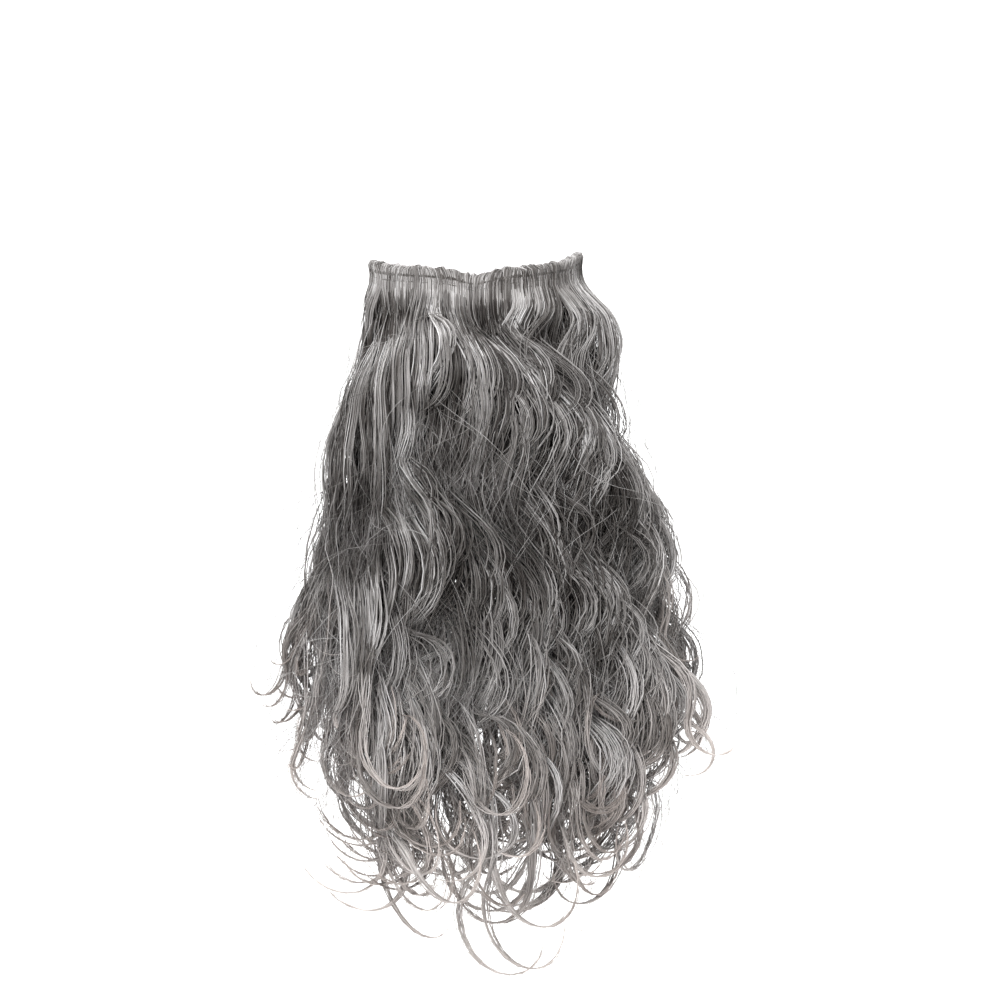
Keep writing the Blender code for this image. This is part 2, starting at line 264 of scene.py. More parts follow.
def walk_locks(lock):
    """Middle lines of locks given as columns. Returns places, sideways and outward directions
    for every step and lock, and for each lock the step where its curl begins and where it ends."""
    count = len(lock["across"])
    aside, ahead, heading, turned, tilt = (np.zeros(count) for _ in range(5))
    drop, walked = lock["root"].copy(), 0.0
    curl_from, ends = np.zeros(count), np.zeros(count)
    step_turn = STRIDE / lock["curl_radius"]
    goal = np.abs(np.radians(lock["curl"]))
    places, sides, outs = [], [], []
    while np.any(turned < goal):
        phase = 2 * math.pi * (walked / (lock["wave"] * BEARD_LENGTH) + lock["start"])
        alive = turned < goal
        swinging = (drop < lock["reach"]) & (turned == 0)
        eased = smooth(walked / LOCK_WIDTH)
        swell_of_wave = 1 + WAVE_SWELL * np.sin(SWELL_RATE * phase + 5 * lock["whim"])
        ripple = lock["ripple"] * np.cos(RIPPLE_RATE * phase + 9 * lock["whim"])
        swung = np.radians(lock["swing"] * swell_of_wave * np.cos(phase) + ripple) * eased
        curled = heading + np.sign(lock["curl"]) * step_turn
        heading = np.where(swinging, swung, np.where(alive, curled, heading))
        turned = turned + np.where(swinging | ~alive, 0, step_turn)
        swell = np.where(swinging, lock["depth"] * eased * np.sin(phase), 0)
        last_swell = swell if not places else np.where(swinging, swell, last_swell)
        freed = smooth((drop / lock["reach"] - FREE_SHARE) / (1 - FREE_SHARE))
        tilt = np.where(swinging, np.radians(lock["lean"]) * freed, tilt)
        middle, side, outward = fall_frame(lock["across"], drop)
        level = LAYER_STEP * lock["layer"] * smooth(walked / (3 * LOCK_WIDTH)) + last_swell + ahead
        breadth = lerp(ROOT_BREADTH, 1.0, smooth(walked / (4 * LOCK_WIDTH)))
        breadth = breadth * lerp(1.0, TIP_BREADTH, freed)
        beside = aside + lock["beside"] * breadth
        places.append(middle + side * beside[:, None] + outward * level[:, None])
        turned_side = side * np.cos(tilt)[:, None] + outward * np.sin(tilt)[:, None]
        sides.append(turned_side)
        outs.append(np.cross(DOWN, turned_side))
        curl_from += swinging
        ends += alive
        onward = np.where(alive, STRIDE, 0)
        aside = aside + onward * np.sin(heading) * np.cos(tilt)
        ahead = ahead + onward * np.sin(heading) * np.sin(tilt)
        drop = drop + onward * np.cos(heading) / BEARD_LENGTH
        walked += STRIDE
    return np.array(places), np.array(sides), np.array(outs), curl_from, ends - 1


# %% [markdown]
# ## From one lock to thin wisps
#
# A real lock isn't one rope: it parts into thinner wisps that swing nearly, but not quite,
# together. So every row of the table becomes several wisps with small chances on each value.
# Their ends have less of their own, because the wisps of a lock curl as one and leave gaps to
# the next lock. The same seed gives the same chances each time the script runs. A small table
# tints the hair from side to side: darker just right of the middle, a little lighter elsewhere.

# %% Part the locks into wisps
ROOT_AT_HEADER = 0.1
WISP_WAVE = 1.12
WISP_SWING = 1.22
LOWEST_REACH = 0.865
LOCKS_APART = 1.4
OUTERMOST = 0.75
SHARE_TURNED_IN = 0.75
SIDE_CURLS = 0.75
Tint = namedtuple("Tint", "across tone")
TINTS = [
    Tint(-1.00, 0.03),
    Tint(-0.60, 0.02),
    Tint(-0.30, 0.06),
    Tint(-0.10, 0.04),
    Tint(0.12, -0.09),
    Tint(0.30, -0.13),
    Tint(0.50, -0.05),
    Tint(1.00, 0.02),
]


def part_into_wisps(
    rows, per_lock, open_curls, layers=(-0.75, 0.65), depth=(0.9, 1.7), loose=1.0, short=(0.0, 0.1)
):
    """Columns of wisps: each lock's values, repeated for its wisps and shaken a little. open_curls
    widens the curls, and short is how much of the reach a wisp may end before its lock does."""
    lock = np.repeat(np.arange(len(rows)), [max(2, round(per_lock * row.width)) for row in rows])
    parts = np.array(rows, float)[lock]
    count = len(parts)

    def shaken(scale):
        return chance.normal(0, scale * loose, count)

    def together(values, keep=0.35):
        """The wisps of a lock drawn towards their mean, and the locks' means drawn apart."""
        mean = (np.bincount(lock, values) / np.bincount(lock))[lock]
        return values.mean() + LOCKS_APART * (mean - values.mean()) + keep * (values - mean)

    wisp = dict(zip(Lock._fields, parts.T))
    half_lock = LOCK_WIDTH / 2 * wisp.pop("width")
    wisp["tint"] = np.interp(wisp["across"], *np.array(TINTS).T)
    wisp["root"] = np.where(wisp["root"] < ROOT_AT_HEADER, 0.002, wisp["root"])
    wisp["beside"] = half_lock * chance.uniform(-0.85, 0.85, count)
    wisp["layer"] = wisp["layer"] + chance.uniform(*layers, count)
    wisp["start"] = wisp["start"] + shaken(0.06)
    wisp["wave"] = wisp["wave"] * WISP_WAVE * np.exp(shaken(0.13))
    wisp["swing"] = wisp["swing"] * WISP_SWING * np.exp(shaken(0.22))
    wisp["reach"] = np.minimum(wisp["reach"], LOWEST_REACH) - together(chance.uniform(*short, count), 0.5)
    outermost = np.abs(wisp["across"]) > OUTERMOST
    turned_in = outermost & (chance.uniform(0, 1, count) < SHARE_TURNED_IN)
    wisp["curl"] = np.where(turned_in, -np.sign(wisp["across"]) * np.abs(wisp["curl"]), wisp["curl"])
    wisp["curl"] = wisp["curl"] * np.exp(together(shaken(0.25)))
    wisp["lean"] = wisp["lean"] + together(shaken(18))
    radius = CURL_RADIUS * together(chance.uniform(0.7, 1.3, count))
    wisp["curl_radius"] = radius * np.where(outermost, SIDE_CURLS, open_curls)
    wisp["depth"] = WAVE_DEPTH * chance.uniform(*depth, count)
    wisp["ripple"] = chance.uniform(0, 13, count)
    wisp["whim"] = chance.uniform(0, 1, count)
    return wisp


at_the_header = [row for row in FRONT_LOCKS if row.root < ROOT_AT_HEADER]
over_the_fall = [row for row in FRONT_LOCKS if row.root >= ROOT_AT_HEADER]
# Painted shade and light in part: the dark wisps lie at the back of each lock and the bright ones in
# front.
shaded_back_wisps = part_into_wisps(at_the_header, 4, 1.2, (-0.8, 0.2), (1.2, 2.6), short=(0.03, 0.22))
middle_wisps = part_into_wisps(at_the_header, 5, 1.2, (-0.4, 0.5), (1.4, 2.8), 0.7, (0.02, 0.20))
lit_front_wisps = part_into_wisps(at_the_header, 3, 1.35, (-0.1, 0.7), (1.6, 3.0), 0.55)
curl_wisps = part_into_wisps(over_the_fall, 4, 1.3, (-0.1, 0.2), loose=0.5)
back_wisps = part_into_wisps(BACK_LOCKS, 5, 1.2, short=(0.0, 0.15))
for title, wisps in (("dark", shaded_back_wisps), ("middling", middle_wisps), ("bright", lit_front_wisps)):
    print(len(wisps["across"]), title, "wisps")

# %% [markdown]
# ## From a wisp to its strands
#
# The strands of a wisp lie side by side in a flat bundle. It is broad where it leaves the
# header, it keeps its breadth down the wave, and it closes to a thin tip. Each strand also
# strays on slow waves of its own, more the lower it gets, but hardly at the tip.

# %% Lay strands along the wisps
Bundle = namedtuple("Bundle", "along breadth depth")
BUNDLE = [
    Bundle(0.00, 1.10, 0.35),
    Bundle(0.10, 1.05, 0.80),
    Bundle(0.35, 1.10, 1.00),
    Bundle(0.62, 1.05, 1.00),
    Bundle(0.78, 0.62, 0.70),
    Bundle(0.88, 0.34, 0.45),
    Bundle(1.00, 0.18, 0.25),
]
EVEN_PART = 1.2
ROOT_PART = 2.5
WISP_HALF_BREADTH = 0.0062
WISP_HALF_DEPTH = 0.0030
USUAL_SPREAD = 0.62
WIDEST_SPREAD = 1.7
LONG_STRAY = 0.31
SHORT_STRAY = 0.17
STRAY_AT_TIP = 0.15


def where_it_bends(places, ends, points):
    """Steps at which to put the points of each wisp's strands: closer together in the bends."""
    ahead = np.diff(places, axis=0)
    cosine = np.sum(unit(ahead[1:]) * unit(ahead[:-1]), axis=-1)
    bend = np.degrees(np.arccos(np.clip(cosine, -1, 1)))
    step = np.arange(len(bend))[:, None]
    bend = bend + EVEN_PART + ROOT_PART * (step < 0.2 * ends)
    bend = np.where(step < ends, bend, 0)
    travelled = np.vstack((np.zeros(len(ends)), np.cumsum(bend, axis=0)))
    steps = np.arange(len(travelled))
    goals = np.linspace(0, 1, points)
    return np.array([
        np.interp(goals * row[-1], row[: int(end) + 1], steps[: int(end) + 1])
        for row, end in zip(travelled.T, ends)
    ])


def lay_strands(wisp, per_wisp, points, stray, breadth=1.0, frizz=1.2):
    """Points, outward directions, shares along and number of the wisp, for each wisp's strands."""
    places, sides, outs, curl_from, ends = walk_locks(wisp)
    owner = np.repeat(np.arange(len(ends)), per_wisp)
    count = len(owner)
    end_share = chance.uniform(0.5, 1.0, count) ** 0.7
    last = (curl_from[owner] + (ends - curl_from)[owner] * end_share) / ends[owner]
    last = np.minimum(last * (1 + chance.normal(0, 0.008, count)), 1.0)
    step = where_it_bends(places, ends, points)[owner] * last[:, None]
    low = np.minimum(step.astype(int), len(places) - 2)
    share = (step - low)[..., None]
    column = owner[:, None]

    def along_the_walk(values):
        return values[low, column] * (1 - share) + values[low + 1, column] * share

    middle, side, out = along_the_walk(places), along_the_walk(sides), along_the_walk(outs)
    along = step / ends[owner][:, None]
    broad, deep = read_table(BUNDLE, along)
    spread_angle = chance.uniform(0, 2 * math.pi, count)[:, None]
    spread_angle = spread_angle + chance.normal(0, 1.0, count)[:, None] * along
    spread_size = np.minimum(np.abs(chance.normal(0, USUAL_SPREAD, count)), WIDEST_SPREAD)[:, None]
    beside = WISP_HALF_BREADTH * breadth * broad * spread_size * np.cos(spread_angle)
    before = WISP_HALF_DEPTH * breadth * deep * spread_size * np.sin(spread_angle)
    for wavelength in (LONG_STRAY, SHORT_STRAY):
        for target in (beside, before):
            beat = along / wavelength + chance.uniform(0, 1, (count, 1))
            size = stray * (wavelength / LONG_STRAY) * np.abs(chance.normal(0, 1, (count, 1)))
            apart = (0.4 + frizz * along) * lerp(1.0, STRAY_AT_TIP, smooth((along - 0.70) / 0.25))
            target += size * np.sin(2 * math.pi * beat) * smooth(along * 4) * apart
    points = middle + side * beside[..., None] + out * before[..., None]
    return points, out, along, owner


# %% [markdown]
# ## Strands as one mesh
#
# Blender has hair curves, but the other programs that will read this model don't. So every
# strand becomes a thin closed prism of three sides. Shaded smooth, it takes the light as a
# round fibre does: a thin bright line where it lies square to the lamp. All the strands of a
# piece are written from arrays into one mesh, since thousands of small objects would be slow.
#
# Three values go with each strand: its tone, from pepper to salt, its share along, and rib,
# which is how far across it a corner lies. The map gives each strand a small strip of its own,
# so a baked picture of the colours has room for every one.

# %% A map, a box to keep to, and a place in the scene
STRAY_ROOM = 0.015


def strip_map(count, rings, sides):
    """Corners of every face of every strand in a map where each strand has its own strip."""
    columns = max(1, round(math.sqrt(count * 8)))
    rows = math.ceil(count / columns)
    strip = np.arange(count)
    left, low = (strip % columns) / columns, (strip // columns) / rows
    ring, face = np.meshgrid(np.arange(rings - 1), np.arange(sides), indexing="ij")
    corner_u = np.stack((face, face + 1, face + 1, face), axis=-1) / sides
    corner_v = np.stack((ring, ring, ring + 1, ring + 1), axis=-1) / (rings - 1)
    u = left[:, None, None, None] + (0.04 + 0.92 * corner_u) / columns
    v = low[:, None, None, None] + (0.01 + 0.98 * corner_v) / rows
    return np.stack((u, v), axis=-1)


def held_in(points):
    """Hair that strays outside the solid model's box is bent back, and stays within STRAY_ROOM of it."""
    for corner, way in zip(solid_box, (-1, 1)):
        beyond = np.maximum(way * (points - np.array(corner)), 0)
        points = points + way * (STRAY_ROOM * np.tanh(beyond / STRAY_ROOM) - beyond)
    return points


def give_values(mesh, **values):
    """A number for each corner of the mesh, under each name."""
    for title, value in values.items():
        mesh.attributes.new(title, "FLOAT", "POINT").data.foreach_set("value", np.ravel(value))


def new_object(mesh, material):
    """Puts a mesh into the scene under its own name, shaded smooth."""
    mesh.shade_smooth()
    mesh.materials.append(material)
    made = bpy.data.objects.new(mesh.name, mesh)
    bpy.context.scene.collection.objects.link(made)
    print(f"{made.name}: {sum(len(face.vertices) - 2 for face in mesh.polygons)} triangles")
    return made


# %% Put a prism round each strand
def strand_piece(name, points, out, thick, wide, tone, along, material, sides=3):
    """One object with a closed prism round each strand. thick and wide are half sizes."""
    count, rings = points.shape[:2]
    points = held_in(points)
    forward = unit(np.gradient(points, axis=1))
    across = unit(np.cross(forward, out))
    out = np.cross(across, forward)
    angle = 2 * math.pi * np.arange(sides) / sides
    ring = points[:, :, None] + (thick[..., None] * np.cos(angle))[..., None] * out[:, :, None]
    ring = ring + (wide[..., None] * np.sin(angle))[..., None] * across[:, :, None]
    index = np.arange(count * rings * sides).reshape(count, rings, sides)
    turned = np.roll(index, -1, axis=2)
    quads = np.stack((index[:, :-1], turned[:, :-1], turned[:, 1:], index[:, 1:]), axis=-1)
    ends = np.concatenate((index[:, 0, ::-1], index[:, -1]))
    mesh = bpy.data.meshes.new(name)
    mesh.from_pydata(ring.reshape(-1, 3), [], quads.reshape(-1, 4).tolist() + ends.tolist())
    corners = strip_map(count, rings, sides).reshape(-1, 2)
    caps = np.repeat(corners[:: (rings - 1) * sides * 4][:count], sides, axis=0)
    layer = mesh.uv_layers.new(name="OFBake")
    layer.data.foreach_set("uv", np.concatenate((corners, caps, caps)).ravel())
    tone, along, rib = np.broadcast_arrays(
        tone[:, None, None], along[..., None], wide[..., None] * np.sin(angle)
    )
    give_values(mesh, tone=tone, along=along, rib=rib)
    print(count, "strands in", name)
    return new_object(mesh, material)


def belongs(piece, node):
    """The piece stands for that solid, which is hidden, and hangs from the root."""
    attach(piece, "root")
    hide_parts(node)


# %% [markdown]
# ## Colour of the fibres
#
# Grey hair is a mix of white, silver and nearly black fibres, so the colour is decided strand
# by strand and not by a pattern laid over the whole. One node group turns the tone into a
# colour, browns the ends a little, where the curls of such fibre look warmer, and lets the tone
# drift along each strand, which is painted sheen. It also paints shade where the locks lie deep
# and paints light on the ends. The shader stays outside the group, in each material.

# %% A node group for grey fibre
def new_socket(group, name, kind, value=None, out=False):
    socket = group.interface.new_socket(name, in_out="OUTPUT" if out else "INPUT", socket_type=kind)
    if value is not None:
        socket.default_value = value


def put(tree, kind, **values):
    """A new node with its settings, and numbers or links for its inputs."""
    node = tree.nodes.new(kind)
    for key, value in values.items():
        if key == "inputs":
            for name, given in value.items():
                if isinstance(given, bpy.types.NodeSocket):
                    tree.links.new(given, node.inputs[name])
                else:
                    node.inputs[name].default_value = given
        else:
            setattr(node, key, value)
    return node


def calculate(tree, operation, *values):
    return put(tree, "ShaderNodeMath", operation=operation, inputs=dict(enumerate(values))).outputs[0]


def spread_about_nought(tree, value, size):
    """Noise, which lies round a half, as a number between minus and plus that size."""
    doubled = calculate(tree, "MULTIPLY", calculate(tree, "SUBTRACT", value, 0.5), 2.0)
    return calculate(tree, "MULTIPLY", doubled, size)


def ranged(tree, value, start, end, low, high):
    """Goes from low to high while the value goes from start to end, and is level beyond them."""
    given = {"Value": value, "From Min": start, "From Max": end, "To Min": low, "To Max": high}
    return put(tree, "ShaderNodeMapRange", inputs=given).outputs["Result"]


def noise(tree, place, scale, detail):
    given = {"Vector": place, "Scale": scale, "Detail": detail}
    return put(tree, "ShaderNodeTexNoise", inputs=given).outputs["Fac"]


# %% [markdown]
# The tone of a fibre is its own, with fine streaks along it and a slow drift over the whole
# beard. The drift is painted sheen: patches of lighter and darker tone that neighbouring strands
# share, standing in for highlights. A third of the way down, where the locks lie deep, the tone
# sinks a little, which is painted shade. It rises towards the ends, which are warmer and paler.
# The paleness is painted light, as thin, spread ends catch more of it. The lower a fibre gets,
# the nearer its tone comes to the middle one, because there the fibres are mixed.

# %% Build the group
FIBRES_A_METRE = 2600.0
STREAKS_ALONG = 9.0
# The drift is painted sheen: slow patches of lighter and darker tone, shared by neighbouring strands.
SHEEN_PATCHES_A_METRE = 30.0
SHEEN_DRIFT = 0.42
MIDDLE_TONE = 0.50
OWN_LANE = 37.0
Change = namedtuple("Change", "start end low high")
# Painted shade where the locks lie deep, and painted light that makes the ends paler.
PAINTED_DEEP_SHADE = Change(0.12, 0.36, -0.04, -0.17)
PAINTED_LIGHT_AT_ENDS = Change(0.42, 1.0, 0.0, 0.80)
LEVELLED = Change(0.35, 0.80, 0.0, 0.45)
WARMED = Change(0.6, 1.0, 0.0, 0.75)
GLOSS = Change(0.3, 0.7, 0.32, 0.48)
SHADES = (
    (0.00, (0.018, 0.0145, 0.0125, 1)),
    (0.30, (0.085, 0.077, 0.072, 1)),
    (0.65, (0.30, 0.287, 0.281, 1)),
    (1.00, (0.66, 0.65, 0.65, 1)),
)
WARM = (0.84, 0.72, 0.65, 1)


def fibre_sockets(group):
    for name, value in (("Tone", 0.5), ("Along", 0.5), ("Rib", 0.0), ("Streaks", 0.3)):
        new_socket(group, name, "NodeSocketFloat", value)
    new_socket(group, "Colour", "NodeSocketColor", out=True)
    new_socket(group, "Roughness", "NodeSocketFloat", out=True)
    new_socket(group, "Height", "NodeSocketFloat", out=True)


def fibre_tone(group, given, streak):
    """The tone with its drift of painted sheen, its streaks, and painted shade and light on the way down.
    """
    place = put(group, "ShaderNodeTexCoord").outputs["Object"]
    along = given.outputs["Along"]
    sheen_drift = spread_about_nought(group, noise(group, place, SHEEN_PATCHES_A_METRE, 2.0), SHEEN_DRIFT)
    streaked = spread_about_nought(group, streak, given.outputs["Streaks"])
    tone = given.outputs["Tone"]
    # Painted shade a third of the way down, and painted light on the ends.
    painted_shade_and_light = [ranged(group, along, *change) for change in (PAINTED_DEEP_SHADE, PAINTED_LIGHT_AT_ENDS)]
    for change in (sheen_drift, streaked, *painted_shade_and_light):
        tone = calculate(group, "ADD", tone, change)
    level = ranged(group, along, *LEVELLED)
    return put(group, "ShaderNodeMix", inputs={"Factor": level, "A": tone, "B": MIDDLE_TONE}).outputs[0]


def fibre_group():
    group = bpy.data.node_groups.new("grey fibre", "ShaderNodeTree")
    fibre_sockets(group)
    given = put(group, "NodeGroupInput")
    result = put(group, "NodeGroupOutput")
    across = calculate(group, "MULTIPLY", given.outputs["Rib"], FIBRES_A_METRE)
    down = calculate(group, "MULTIPLY", given.outputs["Along"], STREAKS_ALONG)
    own = calculate(group, "MULTIPLY", given.outputs["Tone"], OWN_LANE)
    lane = put(group, "ShaderNodeCombineXYZ", inputs={"X": across, "Y": down, "Z": own})
    streak = noise(group, lane.outputs[0], 1.0, 3.0)
    ramp = put(group, "ShaderNodeValToRGB", inputs={"Fac": fibre_tone(group, given, streak)})
    stops = ramp.color_ramp.elements
    for stop, (position, colour) in zip(stops, (SHADES[0], SHADES[-1])):
        stop.position, stop.color = position, colour
    for position, colour in SHADES[1:-1]:
        stops.new(position).color = colour
    warmth = ranged(group, given.outputs["Along"], *WARMED)
    warm = put(group, "ShaderNodeMix", data_type="RGBA", blend_type="MULTIPLY",
               inputs={"Factor": warmth, 6: ramp.outputs["Color"], 7: WARM})
    group.links.new(warm.outputs[2], result.inputs["Colour"])
    group.links.new(ranged(group, streak, *GLOSS), result.inputs["Roughness"])
    group.links.new(streak, result.inputs["Height"])
    return group


grey_fibre = fibre_group()
print("grey fibre:", len(grey_fibre.nodes), "nodes")


# %% Materials that use the group
def new_material(name):
    """A new material, its nodes and its shader."""
    material = bpy.data.materials.new(name)
    material.use_nodes = True
    return material, material.node_tree, material.node_tree.nodes["Principled BSDF"]


def add_relief(tree, shader, height, strength, distance):
    given = {"Height": height, "Strength": strength, "Distance": distance}
    bump = put(tree, "ShaderNodeBump", inputs=given)
    tree.links.new(bump.outputs["Normal"], shader.inputs["Normal"])


def fibre_material(name, shine, streaks, relief):
    material, tree, shader = new_material(name)
    fibre = put(tree, "ShaderNodeGroup", node_tree=grey_fibre)
    for title in ("tone", "along", "rib"):
        value = put(tree, "ShaderNodeAttribute", attribute_name=title)
        tree.links.new(value.outputs["Fac"], fibre.inputs[title.capitalize()])
    fibre.inputs["Streaks"].default_value = streaks
    tree.links.new(fibre.outputs["Colour"], shader.inputs["Base Color"])
    tree.links.new(fibre.outputs["Roughness"], shader.inputs["Roughness"])
    add_relief(tree, shader, fibre.outputs["Height"], relief, 0.0004)
    shader.inputs["Specular IOR Level"].default_value = shine
    return material


hair_fibre = fibre_material("single hair", 0.8, streaks=0.1, relief=0.1)
strand_fibre = fibre_material("strand of fibres", 0.32, streaks=0.6, relief=0.5)
tape_fibre = fibre_material("combed fibre", 0.2, streaks=0.9, relief=0.8)

# %% [markdown]
# ## The gathered header
#
# The header is a narrow band that the hair is folded over. A thread sewn along it draws the
# band into gathers, so it has a row of soft ridges, and the stitching lies in a groove. It could
# be a plain box with a bumpy picture, but its scalloped top edge shows against the light, so
# the gathers are modelled. A flat grid is bent into the band's section, welded into a tube,
# and its two ends are turned inwards to leave the slots that the elastic comes out of.

# %% Shape of the gathered band
STITCH_HEIGHT = -0.0025
STITCH_GROOVE = 0.0016
GROOVE_BREADTH = 0.0011
GATHER_DEPTH = 0.0017
SQUARENESS = 0.65
Beat = namedtuple("Beat", "size rate start")
UNEVEN_GATHERS = [
    Beat(0.0030, 117, 0),
    Beat(0.0014, 290, 1),
    Beat(0.0004, 610, 2),
]


def away_from_head(turn):
    """Level direction out of the loop."""
    return unit(loop_point(turn, 1.0, 0) - loop_point(turn, 0.0, 0))


def gather_phase(turn):
    """A whole turn for each gather. They are never quite even."""
    way = turn * (HEAD_HALF_WIDTH + HEAD_HALF_DEPTH) / 2
    uneven = sum(beat.size * np.sin(beat.rate * way + beat.start) for beat in UNEVEN_GATHERS)
    return 2 * math.pi * (way + uneven) / GATHER_PITCH


def gather(turn):
    """0 in the valleys and up to 1 on the ridges of the gathers."""
    return (0.5 + 0.5 * np.cos(gather_phase(turn))) * (0.72 + 0.28 * np.sin(23 * turn + 2))


def band_point(turn, angle, lift=0.0):
    """Point on the gathered band. The angle goes round its section: 0 in front, a quarter on top."""
    turn, angle = np.broadcast_arrays(turn, angle)
    flat_out = np.sign(np.cos(angle)) * np.abs(np.cos(angle)) ** SQUARENESS
    flat_up = np.sign(np.sin(angle)) * np.abs(np.sin(angle)) ** SQUARENESS
    ridge = gather(turn) * GATHER_DEPTH
    up = (HEADER_HEIGHT / 2 - GATHER_DEPTH / 2 + ridge + lift) * flat_up
    groove = STITCH_GROOVE * np.exp(-(((up - STITCH_HEIGHT) / GROOVE_BREADTH) ** 2))
    half_thickness = HEADER_THICKNESS / 2 - GATHER_DEPTH / 2 + ridge + lift - groove
    return loop_point(turn, HEADER_THICKNESS / 2 + half_thickness * flat_out, up)


ridges = gather_phase(np.array((-HEADER_SPAN, HEADER_SPAN))) / (2 * math.pi)
print("the header has", round(ridges[1] - ridges[0]), "gathers")


# %% A grid bent into a tube, and its ends
SLOT_ROOM = 0.0004
SLOT_DEPTH = 0.09


def finished(name, bm, material):
    """A named object from a bmesh that is done."""
    mesh = bpy.data.meshes.new(name)
    bm.to_mesh(mesh)
    bm.free()
    return new_object(mesh, material)


def corner_turns(mesh):
    """The angle round the loop of every corner of a mesh that follows it."""
    places = np.array([vertex.co for vertex in mesh.vertices])
    return np.arctan2(places[:, 0] / HEAD_HALF_WIDTH, (HEAD_HALF_DEPTH - places[:, 1]) / HEAD_HALF_DEPTH)


def bent_tube(around_steps, section_steps, bend):
    """A grid bent into a tube: bend gives the places for shares along and angles round."""
    bm = bmesh.new()
    bmesh.ops.create_grid(bm, x_segments=around_steps, y_segments=section_steps, size=1.0)
    bm.verts.ensure_lookup_table()
    flat = np.array([vertex.co for vertex in bm.verts])
    for vertex, place in zip(bm.verts, bend(flat[:, 0], flat[:, 1] * math.pi)):
        vertex.co = place
    bmesh.ops.remove_doubles(bm, verts=bm.verts, dist=1e-6)
    return bm


def pull_out(bm, rim):
    """Extrudes a rim of edges. Returns the new rim and its corners, still where the old one is."""
    made = bmesh.ops.extrude_edge_only(bm, edges=rim)["geom"]
    rim = [part for part in made if isinstance(part, bmesh.types.BMEdge)]
    return rim, {corner for edge in rim for corner in edge.verts}


def tuck_in_ends(bm):
    """Turns both open ends of the band inwards to a slot round the elastic, and closes it inside."""
    for end in (-1, 1):
        rim = [edge for edge in bm.edges if edge.is_boundary and edge.verts[0].co.x * end > 0]
        middle = loop_point(end * HEADER_SPAN, HEADER_THICKNESS / 2, 0)
        away = away_from_head(end * HEADER_SPAN)
        rim, corners = pull_out(bm, rim)
        for corner in corners:
            from_middle = np.array(corner.co) - middle
            up = from_middle[2] / (HEADER_HEIGHT / 2) * (ELASTIC_WIDTH / 2 + SLOT_ROOM)
            out = from_middle @ away / (HEADER_THICKNESS / 2) * (ELASTIC_THICKNESS / 2 + SLOT_ROOM)
            corner.co = loop_point(end * HEADER_SPAN, HEADER_THICKNESS / 2 + out, up)
        inwards = loop_point(end * (HEADER_SPAN - SLOT_DEPTH), HEADER_THICKNESS / 2, 0) - middle
        rim, corners = pull_out(bm, rim)
        for corner in corners:
            corner.co = corner.co + Vector(inwards)
        bmesh.ops.edgeloop_fill(bm, edges=rim)
    bmesh.ops.recalc_face_normals(bm, faces=bm.faces)


# %% [markdown]
# The strands of the front locks begin behind the band, go over its top and come down its
# front. There the thread pinches them together between two gathers, most of all at the line
# of stitches, and a few gathers lean to one side. Below the band each strand leaves its fold
# slowly, within a tenth to a third of its length, so no line shows where the folds end.

# %% Fold strands over the header
FOLD_POINTS = 8
FOLD_FROM = 205
FOLD_TO = -48
FOLD_LIFT = (0.0001, 0.0007)
LED_BY_FOLD = (0.10, 0.30)
BELOW_FOLD = 0.002
GATHERS_LEAN = 0.05
STRANDS_LEAN = 0.012
PINCH = 0.25
PINCH_AT_STITCHES = 0.45


def fold_turns(even, angle):
    """Where round the loop the folded strands lie: even, but pinched and slanted."""
    drawn = PINCH + PINCH_AT_STITCHES * np.exp(-(((angle + 0.3) / 0.35) ** 2))
    pitch = GATHER_PITCH / (math.pi * (HEAD_HALF_WIDTH + HEAD_HALF_DEPTH))
    pinch = -drawn * np.sin(gather_phase(even))[:, None] * pitch
    lean = GATHERS_LEAN * np.sin(7 * even + 0.6) + chance.normal(0, STRANDS_LEAN, len(even))
    slant = lean[:, None] * np.maximum(angle, 0)
    return np.clip(even[:, None] + pinch + slant, -HEADER_SPAN, HEADER_SPAN)


def fold_over_header(points, out, along):
    """Leads the root of each strand from behind the band over its top and down its front."""
    first = points[:, 0, 0] / (HEAD_HALF_WIDTH + HEADER_THICKNESS / 2)
    turn = np.arcsin(np.clip(first, -0.995, 0.995))
    even = np.empty_like(turn)
    even[np.argsort(turn)] = np.linspace(turn.min(), turn.max(), len(turn))
    lift = chance.uniform(*FOLD_LIFT, (len(turn), 1))
    angle = np.radians(np.linspace(FOLD_FROM, FOLD_TO, FOLD_POINTS))[None, :]
    turns = fold_turns(even, angle)
    fold = band_point(turns, angle + 0 * turns, lift)
    fold_out = away_from_head(turns) * np.cos(angle)[..., None] - DOWN * np.sin(angle)[..., None]
    root = fold[:, -1:] + DOWN * BELOW_FOLD - points[:, :1]
    led = chance.uniform(*LED_BY_FOLD, (len(turn), 1))
    points = points + root * (1 - smooth(along / led))[..., None]
    start = np.zeros((len(turn), FOLD_POINTS))
    return (
        np.concatenate((fold, points), axis=1),
        np.concatenate((fold_out, out), axis=1),
        np.concatenate((start, along), axis=1),
    )


# %% Make the gathered band
BAND_STEPS = 300
BAND_SIDES = 28


def header_bend(share, angle):
    return band_point(share * HEADER_SPAN, angle)


bm = bent_tube(BAND_STEPS, BAND_SIDES, header_bend)
tuck_in_ends(bm)
band = finished("header_band", bm, tape_fibre)
turn = corner_turns(band.data)
# Painted shade: the band is darker in the valleys between the gathers and lighter on their ridges.
give_values(band.data, tone=0.22 + 0.12 * gather(turn), along=0 * turn, rib=turn * HEAD_HALF_DEPTH)
belongs(band, "header")

# %% [markdown]
# A row of small machine stitches holds the fold. Each is a short rounded bar that sinks into
# the band at both ends.

# %% Sew the stitches
STITCH_PITCH = 0.0036
STITCH_LENGTH = 0.8
STITCH_ANGLE = -0.25
STITCH_GIRTH = 0.00028
STITCH_LIFT = 0.0004
STITCH_SINKS = 0.0016
NO_STITCH_NEAR_ENDS = 0.06


